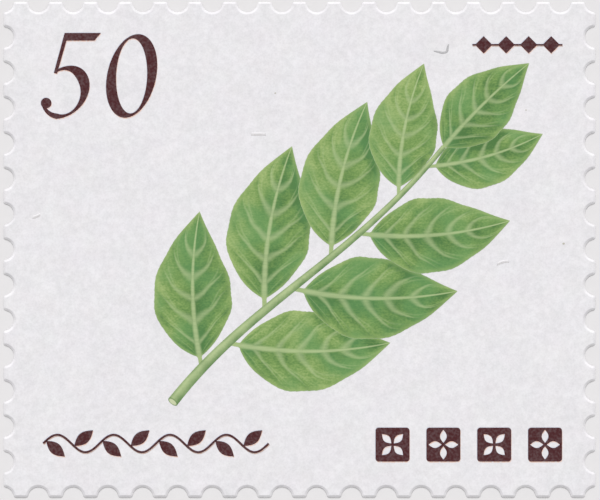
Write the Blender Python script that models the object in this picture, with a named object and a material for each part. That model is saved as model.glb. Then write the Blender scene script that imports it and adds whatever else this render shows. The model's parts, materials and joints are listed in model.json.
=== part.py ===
"""A self-adhesive postage stamp, die cut with a toothed edge, with a leafy sprig printed on its face.

Run it with: blender --background --python part.py
It is in metres with +Z up. The stamp lies face up: +X is the right of its picture and +Y the top.
The origin is under its middle, on the surface that it is stuck to.
"""

import math

import bmesh
import bpy
from mathutils import Vector

MM = 0.001

# The die cuts the edge as a row of round holes, one on each corner and one at each pitch between.
PITCH_ACROSS = 1.76 * MM
PITCH_UP = 1.79 * MM
PITCHES_ACROSS = 17
PITCHES_UP = 14
HOLE_RADIUS = 0.53 * MM
TOOTH_ROUNDING = 0.10 * MM
HALF_WIDTH = PITCHES_ACROSS * PITCH_ACROSS / 2
HALF_HEIGHT = PITCHES_UP * PITCH_UP / 2

# The layers, from the surface up. The gap only keeps neighbouring solids apart.
ADHESIVE_THICKNESS = 0.020 * MM
PAPER_THICKNESS = 0.090 * MM
INK_THICKNESS = 0.010 * MM
LAYER_GAP = 0.002 * MM
PAPER_BOTTOM = ADHESIVE_THICKNESS + LAYER_GAP
INK_BOTTOM = PAPER_BOTTOM + PAPER_THICKNESS + LAYER_GAP
ADHESIVE_INSET = 0.04 * MM
WELD_DISTANCE = 0.0001 * MM

# The sprig's stem is one cubic curve from its cut foot to its tip.
STEM_FOOT = Vector((-6.4, -7.7)) * MM
STEM_LOWER_PULL = Vector((-2.4, -2.6)) * MM
STEM_UPPER_PULL = Vector((2.6, -0.6)) * MM
STEM_TIP = Vector((7.3, 5.2)) * MM
STEM_WIDTH_AT_FOOT = 0.55 * MM
STEM_WIDTH_AT_TIP = 0.24 * MM
STEM_STEPS = 24

# The leaves stand in turn on the stem's two sides, with one more at its tip.
LEAVES_A_SIDE = 4
FIRST_LEAF_AT = 0.12
LAST_LEAF_AT = 0.84
FAR_SIDE_LAG = 0.10
LOWEST_LEAF_LENGTH = 7.4 * MM
LENGTH_GAINED = 5.7 * MM
LENGTH_LOST = 7.5 * MM
LAST_ROOT = 0.95
TIP_LEAF_ROOT = 0.98
TIP_LEAF_LENGTH = 6.5 * MM
LEAF_WIDTH_SHARE = 0.50
LOW_LEAF_ANGLE = math.radians(58)
HIGH_LEAF_ANGLE = math.radians(44)
LEAF_BEND = math.radians(24)
STALK_SHARE = 0.07
STALK_WIDTH = 0.22 * MM
WIDEST_EARLY = 0.78
MARGIN_WAVES = 4
MARGIN_WAVE_DEPTH = 0.03
LEAF_STEPS = 18

# Veins are left as slots in the ink, so the paper shows through.
SIDE_VEINS = 5
RIB_FROM = 0.10
RIB_TO = 0.93
RIB_STEPS = 6
RIB_WIDTH = 0.13 * MM
RIB_TAPER = 0.75
VEIN_WIDTH = 0.07 * MM
VEIN_TAPER = 0.60
VEIN_FROM = 0.16
VEIN_TO = 0.72
VEIN_CLEAR_OF_RIB = 0.16 * MM
VEIN_END = 0.80
VEIN_RUN = 0.17
VEIN_CURL = 1.4
VEIN_STEPS = 2

# The numerals are drawn as with a broad pen: wide across its nib, thin along it, and leaning.
NUMERAL_BASE = 6.60 * MM
NUMERAL_HEIGHT = 4.35 * MM
NUMERAL_WIDTH = 2.35 * MM
FIVE_LEFT = -13.00 * MM
ZERO_LEFT = -9.95 * MM
NUMERAL_SLANT = math.tan(math.radians(9))
PEN_THIN = 0.13 * MM
PEN_WIDE = 0.56 * MM
PEN_ANGLE = math.radians(28)
PEN_STEPS = 20

# Places within a numeral are shares of its width and height.
FLAG_CORNERS = ((0.19, 0.91), (0.86, 0.91), (0.97, 1.00), (0.21, 1.00))
STEM_ENDS = ((0.23, 0.98), (0.13, 0.53))
STEM_WIDTHS = (0.20 * MM, 0.17 * MM)
BOWL_MIDDLE = (0.36, 0.31)
BOWL_REACH = (0.46, 0.28)
BOWL_FROM = 122
BOWL_TO = -148
PEN_TAPER = 0.07 * MM
BALL_RADIUS = 0.27 * MM
BALL_LIFT = Vector((0.16, 0.10)) * MM
RING_MIDDLE = (0.48, 0.50)
RING_REACH = (0.42, 0.455)

# Ornaments stand where the printed words would be.
VINE_LEFT = -12.95 * MM
VINE_LENGTH = 11.40 * MM
VINE_MIDDLE = -9.80 * MM
VINE_RISE = 0.44 * MM
VINE_WAVES = 4
VINE_STEPS_A_WAVE = 10
VINE_LINE = 0.11 * MM
VINE_LEAF_LENGTH = 1.25 * MM
VINE_LEAF_WIDTH = 0.58 * MM
VINE_LEAF_ANGLE = math.radians(40)
VINE_LEAF_SHIFT = 0.10
TILES = 4
TILE_SIZE = 1.72 * MM
TILE_LEFT = 3.85 * MM
TILE_PITCH = 2.57 * MM
TILE_MIDDLE = -9.86 * MM
TILE_CORNER = 0.16 * MM
TILE_PETAL_START = 0.09 * MM
TILE_PETAL_LENGTH = 0.66 * MM
TILE_PETAL_WIDTH = 0.34 * MM
RULE_LEFT = 8.75 * MM
RULE_LENGTH = 4.55 * MM
RULE_MIDDLE = 10.35 * MM
RULE_LINE = 0.09 * MM
RULE_BEADS = 4
RULE_BEAD_SIZE = 0.88 * MM

# Colours, as linear RGB.
PAPER_COLOUR = (0.81, 0.80, 0.82)
ADHESIVE_COLOUR = (0.72, 0.70, 0.62)
GREEN_COLOUR = (0.225, 0.356, 0.133)
BROWN_COLOUR = (0.092, 0.036, 0.039)


def clear_scene():
    for old in list(bpy.data.objects):
        bpy.data.objects.remove(old)


def new_collection(name):
    collection = bpy.data.collections.new(name)
    bpy.context.scene.collection.children.link(collection)
    return collection


def new_material(name, colour, roughness):
    material = bpy.data.materials.new(name)
    material.use_nodes = True
    material.diffuse_color = (*colour, 1)
    shader = material.node_tree.nodes["Principled BSDF"]
    shader.inputs["Base Color"].default_value = (*colour, 1)
    shader.inputs["Roughness"].default_value = roughness
    shader.inputs["Metallic"].default_value = 0.0
    return material


def arc(centre, radius, start, end, steps):
    """Points on a circle from one angle to another, both ends included."""
    angles = [start + (end - start) * i / steps for i in range(steps + 1)]
    return [centre + radius * Vector((math.cos(a), math.sin(a))) for a in angles]


def side_points(pitch, pitches, inset, hole_steps, rounding_steps):
    """One side of the edge as (along, inwards) points, from its first corner hole to the end of its last."""
    hole = HOLE_RADIUS + inset
    rise = TOOTH_ROUNDING + inset
    reach = math.sqrt((hole + TOOTH_ROUNDING) ** 2 - rise**2)
    lean = math.asin(rise / (hole + TOOTH_ROUNDING))
    points = []
    for tooth in range(pitches):
        start = tooth * pitch
        end = start + pitch
        near = Vector((start + reach, rise))
        far = Vector((end - reach, rise))
        points += arc(near, TOOTH_ROUNDING, math.pi + lean, 1.5 * math.pi, rounding_steps)
        points += arc(far, TOOTH_ROUNDING, 1.5 * math.pi, 2 * math.pi - lean, rounding_steps)
        at_corner = tooth == pitches - 1
        last_angle = math.pi / 2 + lean if at_corner else lean
        steps = hole_steps // 2 if at_corner else hole_steps
        points += arc(Vector((end, 0)), hole, math.pi - lean, last_angle, steps)[1:-1]
    return points


def toothed_outline(inset, hole_steps, rounding_steps):
    """The whole die-cut edge, anticlockwise, moved inwards by the inset."""
    corners = [
        Vector((-HALF_WIDTH, -HALF_HEIGHT)),
        Vector((HALF_WIDTH, -HALF_HEIGHT)),
        Vector((HALF_WIDTH, HALF_HEIGHT)),
        Vector((-HALF_WIDTH, HALF_HEIGHT)),
    ]
    outline = []
    for side, corner in enumerate(corners):
        along = (corners[(side + 1) % 4] - corner).normalized()
        inwards = Vector((-along.y, along.x))
        level = side % 2 == 0
        pitch, pitches = (PITCH_ACROSS, PITCHES_ACROSS) if level else (PITCH_UP, PITCHES_UP)
        for point in side_points(pitch, pitches, inset, hole_steps, rounding_steps):
            outline.append(corner + along * point.x + inwards * point.y)
    return outline


def flat_layer(name, loops, bottom, thickness, material, collection):
    """A flat piece from its outline and its holes, as a filled 2D curve."""
    curve = bpy.data.curves.new(name, "CURVE")
    curve.dimensions = "2D"
    curve.fill_mode = "BOTH"
    curve.extrude = thickness / 2
    for loop in loops:
        spline = curve.splines.new("POLY")
        spline.points.add(len(loop) - 1)
        for point, place in zip(spline.points, loop):
            point.co = (place.x, place.y, 0, 1)
        spline.use_cyclic_u = True
    curve.materials.append(material)
    layer = bpy.data.objects.new(name, curve)
    layer.location.z = bottom + thickness / 2
    collection.objects.link(layer)
    return layer


def mesh_from_curve(layer, collection):
    """The same piece as a closed mesh, so that a Boolean can join it."""
    bpy.context.view_layer.update()
    evaluated = layer.evaluated_get(bpy.context.evaluated_depsgraph_get())
    mesh = bpy.data.meshes.new_from_object(evaluated)
    shape = bmesh.new()
    shape.from_mesh(mesh)
    bmesh.ops.remove_doubles(shape, verts=shape.verts, dist=WELD_DISTANCE)
    bmesh.ops.recalc_face_normals(shape, faces=shape.faces)
    shape.to_mesh(mesh)
    shape.free()
    made = bpy.data.objects.new(layer.name, mesh)
    made.matrix_world = layer.matrix_world
    bpy.data.objects.remove(layer)
    collection.objects.link(made)
    return made


def fused(name, layers, collection):
    """The layers joined into one body by one Boolean union, which is applied."""
    meshes = [mesh_from_curve(layer, collection) for layer in layers]
    body, others = meshes[0], meshes[1:]
    joined = new_collection(name + "_pieces")
    for other in others:
        collection.objects.unlink(other)
        joined.objects.link(other)
    union = body.modifiers.new("join_pieces", "BOOLEAN")
    union.operation = "UNION"
    union.solver = "EXACT"
    union.operand_type = "COLLECTION"
    union.collection = joined
    bpy.context.view_layer.update()
    evaluated = body.evaluated_get(bpy.context.evaluated_depsgraph_get())
    body.data = bpy.data.meshes.new_from_object(evaluated)
    body.modifiers.clear()
    for other in others:
        bpy.data.objects.remove(other)
    bpy.data.collections.remove(joined)
    body.name = name
    body.data.name = name
    return body


def ribbon(centres, widths):
    """The outline of a band of changing width along a line of points."""
    left, right = [], []
    for i, (centre, width) in enumerate(zip(centres, widths)):
        ahead = centres[min(i + 1, len(centres) - 1)] - centres[max(i - 1, 0)]
        across = Vector((-ahead.y, ahead.x)).normalized() * width / 2
        left.append(centre + across)
        right.append(centre - across)
    return right + left[::-1]


def pen_widths(centres):
    """What a broad pen draws along a line: thin where the line rises with the nib, wide across it."""
    widths = []
    for i in range(len(centres)):
        ahead = centres[min(i + 1, len(centres) - 1)] - centres[max(i - 1, 0)]
        turn = math.atan2(ahead.y, ahead.x) - PEN_ANGLE
        widths.append(PEN_THIN + (PEN_WIDE - PEN_THIN) * math.sin(turn) ** 2)
    return widths


def stem_point(share):
    """A point on the stem's cubic curve, from 0 at the foot to 1 at the tip."""
    rest = 1 - share
    return (
        STEM_FOOT * rest**3
        + STEM_LOWER_PULL * 3 * rest**2 * share
        + STEM_UPPER_PULL * 3 * rest * share**2
        + STEM_TIP * share**3
    )


def stem_heading(share):
    """The way the stem runs there, as an angle from +X."""
    step = 0.01
    ahead = stem_point(min(share + step, 1)) - stem_point(max(share - step, 0))
    return math.atan2(ahead.y, ahead.x)


class Leaf:
    """One printed leaf: its places along and across it, turned into points of the face."""

    def __init__(self, base, heading, bend, length):
        self.base = base
        self.heading = heading
        self.bend = bend
        self.length = length
        self.half_width = length * LEAF_WIDTH_SHARE / 2

    def half_width_at(self, along):
        """A thin stalk, then an egg-shaped blade with a waved margin that ends in a point."""
        blade = max(0.0, (along - STALK_SHARE) / (1 - STALK_SHARE))
        body = self.half_width * math.sin(math.pi * blade**WIDEST_EARLY)
        wave = 1 + MARGIN_WAVE_DEPTH * math.sin(2 * math.pi * MARGIN_WAVES * blade)
        return max(STALK_WIDTH / 2 * (1 - blade), body * wave)

    def point(self, along, across):
        """Along is 0 at the base and 1 at the tip, across -1 and 1 at the two margins."""
        turned = self.heading + self.bend * along
        radius = self.length / self.bend
        rib = self.base + radius * Vector(
            (math.sin(turned) - math.sin(self.heading), math.cos(self.heading) - math.cos(turned))
        )
        sideways = Vector((-math.sin(turned), math.cos(turned)))
        return rib + sideways * across * self.half_width_at(along)

    def outline(self):
        shares = [i / LEAF_STEPS for i in range(LEAF_STEPS + 1)]
        right = [self.point(share, -1) for share in shares[:-1]]
        left = [self.point(share, 1) for share in shares[:-1]]
        return right + [self.point(1, 0)] + left[::-1]

    def rib_slot(self):
        shares = [RIB_FROM + (RIB_TO - RIB_FROM) * i / RIB_STEPS for i in range(RIB_STEPS + 1)]
        widths = [RIB_WIDTH * (1 - RIB_TAPER * share) for share in shares]
        return ribbon([self.point(share, 0) for share in shares], widths)

    def vein_slots(self):
        slots = []
        for side in (-1, 1):
            for vein in range(SIDE_VEINS):
                root = VEIN_FROM + (VEIN_TO - VEIN_FROM) * vein / (SIDE_VEINS - 1)
                start = VEIN_CLEAR_OF_RIB / self.half_width_at(root)
                centres, widths = [], []
                for i in range(VEIN_STEPS + 1):
                    out = i / VEIN_STEPS
                    across = start + (VEIN_END - start) * out
                    centres.append(self.point(root + VEIN_RUN * out**VEIN_CURL, side * across))
                    widths.append(VEIN_WIDTH * (1 - VEIN_TAPER * out))
                slots.append(ribbon(centres, widths))
        return slots


def sprig_leaves():
    """The leaves in turn up the stem, with the tip's own leaf last."""
    leaves = []
    for step in range(LEAVES_A_SIDE):
        share = FIRST_LEAF_AT + (LAST_LEAF_AT - FIRST_LEAF_AT) * step / (LEAVES_A_SIDE - 1)
        for side, lag in ((1, 0.0), (-1, FAR_SIDE_LAG)):
            at = min(share + lag, LAST_ROOT)
            angle = LOW_LEAF_ANGLE + (HIGH_LEAF_ANGLE - LOW_LEAF_ANGLE) * at
            length = LOWEST_LEAF_LENGTH + LENGTH_GAINED * at - LENGTH_LOST * at**2
            heading = stem_heading(at) + side * angle
            leaves.append(Leaf(stem_point(at), heading, -side * LEAF_BEND, length))
    tip_leaf = Leaf(stem_point(TIP_LEAF_ROOT), stem_heading(1), -LEAF_BEND / 2, TIP_LEAF_LENGTH)
    leaves.append(tip_leaf)
    return leaves


def build_sprig(ink, collection):
    shares = [i / STEM_STEPS for i in range(STEM_STEPS + 1)]
    widths = [STEM_WIDTH_AT_FOOT + (STEM_WIDTH_AT_TIP - STEM_WIDTH_AT_FOOT) * s for s in shares]
    stem_loop = ribbon([stem_point(s) for s in shares], widths)
    layers = [flat_layer("stem", [stem_loop], INK_BOTTOM, INK_THICKNESS, ink, collection)]
    for leaf in sprig_leaves():
        loops = [leaf.outline(), leaf.rib_slot(), *leaf.vein_slots()]
        layers.append(flat_layer("leaf", loops, INK_BOTTOM, INK_THICKNESS, ink, collection))
    return fused("printed_sprig", layers, collection)


def numeral_place(left, across, up):
    """A place in a numeral's own box, 0 to 1 each way, leant over and put on the face."""
    height = up * NUMERAL_HEIGHT
    return Vector((left + across * NUMERAL_WIDTH + height * NUMERAL_SLANT, NUMERAL_BASE + height))


def build_five(ink, collection):
    flag = [numeral_place(FIVE_LEFT, across, up) for across, up in FLAG_CORNERS]
    stem = [numeral_place(FIVE_LEFT, across, up) for across, up in STEM_ENDS]
    bowl = []
    for i in range(PEN_STEPS + 1):
        angle = math.radians(BOWL_FROM + (BOWL_TO - BOWL_FROM) * i / PEN_STEPS)
        across = BOWL_MIDDLE[0] + BOWL_REACH[0] * math.cos(angle)
        up = BOWL_MIDDLE[1] + BOWL_REACH[1] * math.sin(angle)
        bowl.append(numeral_place(FIVE_LEFT, across, up))
    widths = [min(w, PEN_TAPER * (PEN_STEPS - i) + PEN_THIN) for i, w in enumerate(pen_widths(bowl))]
    ball = arc(bowl[-1] + BALL_LIFT, BALL_RADIUS, 0, 1.8 * math.pi, 9)
    loops = [ribbon(bowl, widths), flag, ribbon(stem, STEM_WIDTHS), ball]
    layers = [flat_layer("stroke", [loop], INK_BOTTOM, INK_THICKNESS, ink, collection) for loop in loops]
    return fused("printed_numeral_five", layers, collection)


def build_zero(ink, collection):
    centres = []
    for i in range(2 * PEN_STEPS):
        angle = math.pi * i / PEN_STEPS
        across = RING_MIDDLE[0] + RING_REACH[0] * math.cos(angle)
        up = RING_MIDDLE[1] + RING_REACH[1] * math.sin(angle)
        centres.append(numeral_place(ZERO_LEFT, across, up))
    closed = [centres[-1], *centres, centres[0]]
    widths = pen_widths(closed)
    band = ribbon(closed, widths)
    count = len(closed)
    outside = band[1 : count - 1]
    inside = band[count + 1 : 2 * count - 1]
    loops = [outside, inside]
    return flat_layer("printed_numeral_zero", loops, INK_BOTTOM, INK_THICKNESS, ink, collection)


def almond(root, heading, length, width, steps=6):
    """A small plain leaf, pointed at both ends."""
    along = Vector((math.cos(heading), math.sin(heading)))
    sideways = Vector((-along.y, along.x))
    right, left = [], []
    for i in range(steps):
        share = i / steps
        half = width / 2 * math.sin(math.pi * share)
        right.append(root + along * length * share - sideways * half)
        left.append(root + along * length * share + sideways * half)
    return right + [root + along * length] + left[:0:-1]


def vine_point(share):
    turn = 2 * math.pi * VINE_WAVES * share
    return Vector((VINE_LEFT + VINE_LENGTH * share, VINE_MIDDLE + VINE_RISE * math.sin(turn)))


def build_vine(ink, collection):
    steps = VINE_WAVES * VINE_STEPS_A_WAVE
    line = [vine_point(i / steps) for i in range(steps + 1)]
    loops = [ribbon(line, [VINE_LINE] * len(line))]
    for half_wave in range(2 * VINE_WAVES):
        side = 1 if half_wave % 2 else -1
        root = vine_point((half_wave + VINE_LEAF_SHIFT) / (2 * VINE_WAVES))
        loops.append(almond(root, side * VINE_LEAF_ANGLE, VINE_LEAF_LENGTH, VINE_LEAF_WIDTH))
    layers = [flat_layer("vine", [loop], INK_BOTTOM, INK_THICKNESS, ink, collection) for loop in loops]
    return fused("printed_vine", layers, collection)


def build_tile(number, ink, collection):
    """A small square with a four-petalled flower left open in it, every other one turned half way."""
    middle = Vector((TILE_LEFT + TILE_SIZE / 2 + number * TILE_PITCH, TILE_MIDDLE))
    half = TILE_SIZE / 2 - TILE_CORNER
    square = []
    for quarter in range(4):
        angle = quarter * math.pi / 2
        corner = middle + half * math.sqrt(2) * Vector(
            (math.cos(angle + math.pi / 4), math.sin(angle + math.pi / 4))
        )
        square += arc(corner, TILE_CORNER, angle, angle + math.pi / 2, 3)
    turn = 0.0 if number % 2 else math.pi / 4
    petals = []
    for quarter in range(4):
        heading = turn + quarter * math.pi / 2
        root = middle + TILE_PETAL_START * Vector((math.cos(heading), math.sin(heading)))
        petals.append(almond(root, heading, TILE_PETAL_LENGTH, TILE_PETAL_WIDTH))
    name = f"printed_tile_{number + 1}"
    return flat_layer(name, [square, *petals], INK_BOTTOM, INK_THICKNESS, ink, collection)


def build_beaded_rule(ink, collection):
    ends = [Vector((RULE_LEFT, RULE_MIDDLE)), Vector((RULE_LEFT + RULE_LENGTH, RULE_MIDDLE))]
    loops = [ribbon(ends, [RULE_LINE] * 2)]
    for bead in range(RULE_BEADS):
        middle = ends[0].lerp(ends[1], (bead + 0.5) / RULE_BEADS)
        loops.append(arc(middle, RULE_BEAD_SIZE / 2, 0, 1.5 * math.pi, 3))
    layers = [flat_layer("rule", [loop], INK_BOTTOM, INK_THICKNESS, ink, collection) for loop in loops]
    return fused("printed_beaded_rule", layers, collection)


def main():
    clear_scene()
    stamp = new_collection("postage_stamp")
    paper = new_material("stamp_paper", PAPER_COLOUR, 0.75)
    adhesive = new_material("pressure_sensitive_adhesive", ADHESIVE_COLOUR, 0.35)
    green = new_material("green_ink", GREEN_COLOUR, 0.62)
    brown = new_material("brown_ink", BROWN_COLOUR, 0.58)

    paper_edge = toothed_outline(0.0, 8, 2)
    adhesive_edge = toothed_outline(ADHESIVE_INSET, 4, 1)
    flat_layer("adhesive_layer", [adhesive_edge], 0.0, ADHESIVE_THICKNESS, adhesive, stamp)
    flat_layer("face_paper", [paper_edge], PAPER_BOTTOM, PAPER_THICKNESS, paper, stamp)

    build_sprig(green, stamp)
    build_five(brown, stamp)
    build_zero(brown, stamp)
    build_vine(brown, stamp)
    for number in range(TILES):
        build_tile(number, brown, stamp)
    build_beaded_rule(brown, stamp)


main()
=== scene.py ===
"""The looks of a small self-adhesive postage stamp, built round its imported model.

The stamp lies face up on a pale floor: +X is the right of its picture, +Y the top, +Z out of its face.
The file is laid out as an add-on. Its panel lists the sizes and colours, and an operator for each piece.
"""

import json
import math
from functools import partial

import bmesh
import bpy
from bpy.props import FloatProperty, FloatVectorProperty, IntProperty, PointerProperty
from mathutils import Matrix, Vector
from mathutils.bvhtree import BVHTree

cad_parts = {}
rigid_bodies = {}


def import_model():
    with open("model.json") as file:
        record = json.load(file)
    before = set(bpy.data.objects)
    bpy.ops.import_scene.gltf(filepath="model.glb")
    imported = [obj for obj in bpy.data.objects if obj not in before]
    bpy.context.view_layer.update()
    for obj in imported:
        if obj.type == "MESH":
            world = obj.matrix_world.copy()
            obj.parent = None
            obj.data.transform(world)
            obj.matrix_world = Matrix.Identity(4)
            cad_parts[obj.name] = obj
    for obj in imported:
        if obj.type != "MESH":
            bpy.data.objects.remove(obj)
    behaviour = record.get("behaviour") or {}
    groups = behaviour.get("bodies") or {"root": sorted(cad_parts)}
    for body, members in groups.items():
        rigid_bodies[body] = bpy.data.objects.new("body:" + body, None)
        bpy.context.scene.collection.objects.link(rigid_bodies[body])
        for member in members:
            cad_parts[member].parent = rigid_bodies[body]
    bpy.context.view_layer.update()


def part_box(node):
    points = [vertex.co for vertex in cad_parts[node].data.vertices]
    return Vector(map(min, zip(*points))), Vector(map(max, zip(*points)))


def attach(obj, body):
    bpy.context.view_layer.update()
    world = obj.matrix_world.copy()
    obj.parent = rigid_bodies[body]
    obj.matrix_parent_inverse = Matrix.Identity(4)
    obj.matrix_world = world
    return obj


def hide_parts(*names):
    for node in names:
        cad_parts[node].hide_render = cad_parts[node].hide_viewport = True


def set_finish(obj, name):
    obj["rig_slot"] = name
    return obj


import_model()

bl_info = {
    "name": "Postage Stamp",
    "version": (1, 0, 0),
    "blender": (4, 5, 0),
    "location": "3D View > Sidebar > Postage Stamp",
    "description": "Builds a die-cut postage stamp with its paper, adhesive and printed inks",
    "category": "Add Mesh",
}

MM = 0.001
BODY = "root"
PAPER_LOW, PAPER_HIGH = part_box("face_paper")
ADHESIVE_LOW, ADHESIVE_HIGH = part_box("adhesive_layer")
INK_LOW, INK_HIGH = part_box("printed_sprig")
WELD = 0.0001 * MM

# The photograph's frame, and the stamp's edge lines in it, in pixels.
PHOTO_WIDTH = 600
PHOTO_HEIGHT = 500
STAMP_LEFT, STAMP_RIGHT = 3.4, 595.3
STAMP_TOP, STAMP_BOTTOM = 1.3, 497.8
MM_A_PIXEL = (PAPER_HIGH.x - PAPER_LOW.x) / (STAMP_RIGHT - STAMP_LEFT)

# Heights of the printed films over the stamp's back. Each lies just clear of the one under it.
FILM = 0.0004 * MM
BROWN_LEVEL = INK_LOW.z + 0.0012 * MM
BROWN_OVER_LEVEL = BROWN_LEVEL + 0.0006 * MM
WARM_FRINGE_SHIFT = Vector((0.020, -0.044, -0.0012)) * MM
COOL_FRINGE_SHIFT = Vector((-0.024, 0.030, -0.0006)) * MM
LEAF_LEVEL = INK_LOW.z
LEAF_LEVEL_STEP = 0.0006 * MM

# Steps of the cut edge's curves, and the section of the rim that the die crushes along it.
EDGE_WELD = 0.001 * MM
SHOULDER_STEPS = 7
HOLE_STEPS = 22
RIM_STEPS = 8
RIM_ROUNDED_SHARE = 0.25
RIM_FLAT = 0.004 * MM
ADHESIVE_RIM_WIDTH = 0.030 * MM
ADHESIVE_RIM_DROP = 0.010 * MM
SHARP_ANGLE = math.radians(35)

# The sprig's stem is one cubic curve from its cut foot to its tip.
STEM_FOOT = Vector((-6.4, -7.7)) * MM
STEM_LOWER_PULL = Vector((-2.4, -2.6)) * MM
STEM_UPPER_PULL = Vector((2.6, -0.6)) * MM
STEM_TIP = Vector((7.3, 5.2)) * MM
STEM_WIDTH_AT_FOOT = 0.55 * MM
STEM_WIDTH_AT_TIP = 0.24 * MM
STEM_STEPS = 96
STEM_CUT_REACH = 0.12 * MM
STEM_CUT_STEPS = 8
STEM_LOOK_AHEAD = 0.01

# The leaves stand in turn on the stem's two sides, with one more at its tip.
LAST_ROOT = 0.95
TIP_LEAF_ROOT = 0.98
TIP_LEAF_LENGTH = 6.5 * MM
LOWEST_LEAF_LENGTH = 7.4 * MM
LENGTH_GAINED = 5.7 * MM
LENGTH_LOST = 7.5 * MM
LEAF_WIDTH_SHARE = 0.50
LOW_LEAF_ANGLE = math.radians(58)
HIGH_LEAF_ANGLE = math.radians(44)
LEAF_BEND = math.radians(24)
STALK_SHARE = 0.07
STALK_HALF_WIDTH = 0.0135
WIDEST_EARLY = 0.78
MARGIN_WAVES = 4
MARGIN_WAVE_DEPTH = 0.02
MARGIN_TEETH = 26
MARGIN_TOOTH_DEPTH = 0.012
LEAF_STEPS = 104
LEAF_STEPS_ACROSS = 10
LEAF_SEED_START, LEAF_SEED_STEP = 0.2, 0.618034
SEAM_REACH = 0.75 * MM

# Side veins and their branches, as shares of a leaf's length and half width.
VEIN_FROM = 0.16
VEIN_STEP = 0.14
VEIN_END = 0.80
VEIN_RUN = 0.17
VEIN_CURL = 1.4
VEIN_WANDER = 0.075
BRANCH_FROM = 0.28
BRANCH_END = 0.95
RIB_HALF_WIDTH = 0.0105

# The numerals are drawn as with a broad pen: wide across its nib, thin along it, and leaning.
NUMERAL_BASE = 6.60 * MM
NUMERAL_HEIGHT = 4.35 * MM
NUMERAL_WIDTH = 2.35 * MM
FIVE_LEFT = -13.00 * MM
ZERO_LEFT = -9.95 * MM
NUMERAL_SLANT = math.tan(math.radians(9))
PEN_THIN = 0.13 * MM
PEN_WIDE = 0.56 * MM
PEN_ANGLE = math.radians(28)
PEN_STEPS = 80
FLAG_CORNERS = ((0.170, 0.91), (0.86, 0.91), (0.97, 1.00), (0.190, 1.00))
STEM_ENDS = ((0.23, 0.98), (0.13, 0.53))
STEM_WIDTHS = (0.20 * MM, 0.17 * MM)
BOWL_MIDDLE = (0.36, 0.31)
BOWL_REACH = (0.46, 0.28)
BOWL_FROM = 122
BOWL_TO = -148
PEN_TAPER = 0.80 * MM
BALL_RADIUS = 0.27 * MM
BALL_LIFT = Vector((0.16, 0.10)) * MM
BALL_POINTS = 32
RING_MIDDLE = (0.48, 0.50)
RING_REACH = (0.533, 0.486)
OPENING_REACH = (0.333, 0.435)
OPENING_LEAN = 0.10

# Ornaments stand in the corners, each with the sizes that go into its tree.
VINE = {
    "Left": -12.95 * MM, "Length": 11.40 * MM, "Middle": -9.80 * MM, "Rise": 0.44 * MM, "Waves": 4,
    "Line Width": 0.11 * MM, "Leaf Angle": math.radians(40), "Leaf Shift": 0.10,
    "Level": BROWN_LEVEL, "Leaf Level": BROWN_OVER_LEVEL,
}
VINE_STEPS = 160
VINE_LEAF_LENGTH = 1.25 * MM
VINE_LEAF_WIDTH = 0.58 * MM
TILES = 4
TILE_SIZE = 1.72 * MM
TILE_ROW = {
    "Tiles": TILES, "First Middle": (3.85 * MM + TILE_SIZE / 2, -9.86 * MM, BROWN_LEVEL),
    "Pitch": 2.57 * MM,
}
TILE_CORNER = 0.16 * MM
TILE_CORNER_STEPS = 8
TILE_PETAL_START = 0.09 * MM
TILE_PETAL_LENGTH = 0.66 * MM
TILE_PETAL_WIDTH = 0.34 * MM
RULE = {
    "Left": 8.75 * MM, "Length": 4.55 * MM, "Middle": 10.35 * MM, "Line Width": 0.09 * MM, "Beads": 4,
    "Level": BROWN_LEVEL, "Bead Level": BROWN_OVER_LEVEL,
}
RULE_BEAD_SIZE = 0.88 * MM

# Paper fibres are short arcs that keep clear of the toothed edge.
FIBRE_START = 1.2
FIBRE_TURN = 1.1
FIBRE_STEPS = 7
FIBRE_SIDES = 4
FIBRE_SMALLEST, FIBRE_LARGEST = 0.35, 1.3
FIBRE_SIZE_SEED = 5
FIBRE_MARGIN = 2.2 * MM
FIBRES = {
    "Width": (PAPER_HIGH.x - PAPER_LOW.x) - FIBRE_MARGIN,
    "Height": (PAPER_HIGH.y - PAPER_LOW.y) - FIBRE_MARGIN,
    "Fibres a Square Metre": 0.9 / MM**2, "Seed": 7, "Fibre Radius": 0.0028 * MM,
    "Bend Radius": 0.62 * MM, "Level": PAPER_HIGH.z - 0.0016 * MM,
}

# Marks in the paper, placed by the photograph's pixels, with half widths and radii in millimetres.
HAIR_PIXELS = ((433.8, 51.0), (438, 51.8), (443, 53.0), (447.3, 51.8), (447.5, 47.5), (448.6, 44.0))
LINT_PIXELS = (
    ((32.4, 216.6), (36.4, 216.0), (40.4, 213.4)),
    ((251, 133.4), (258.5, 133.0), (266, 133.4)),
    ((497, 263.5), (503, 260), (509, 260.5)),
)
HAIR_HALF_WIDTH = 0.060
LINT_HALF_WIDTH = 0.048
# Each lint's shade is painted: a grey thread a little towards the stamp's bottom edge stands for its shadow.
LINT_SHADE_HALF_WIDTH = 0.052
LINT_SHADE = 1.7
LINT_SHADE_RISE = 0.25
THREAD_END = 0.50
SPECKS = ((275.3, 93.1, 0.045), (563.6, 243.6, 0.062), (526, 110, 0.040))
SPECK_DEPTH_SHARE = 0.8
SPECK_HEIGHT = 0.004 * MM
SPECK_LIFT = 0.003 * MM

# The floor turns up at its far edge along an arc, near enough for every view to reach it.
FLOOR_FLAT = 0.5
FLOOR_TURN = 4.0
FLOOR_TURN_ANGLE = math.radians(14)
FLOOR_RINGS = 12
FLOOR_SIDES = 96
FLOOR_GAP = 0.002 * MM

# The soft light comes from beyond the stamp's top edge, low enough to catch its crushed rim.
KEY_HEIGHT = math.radians(38)
KEY_WIDTH = math.radians(23)
KEY_DISTANCE = 0.5
SENSOR_WIDTH = 36
NEAREST_SEEN = 0.01

# The height of the sheet's relief, less where ink fills it, and of the streaks in the adhesive.
SHEET_RELIEF = 0.0030 * MM
BROWN_RELIEF = 0.0024 * MM
ADHESIVE_RELIEF = 0.002 * MM

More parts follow.
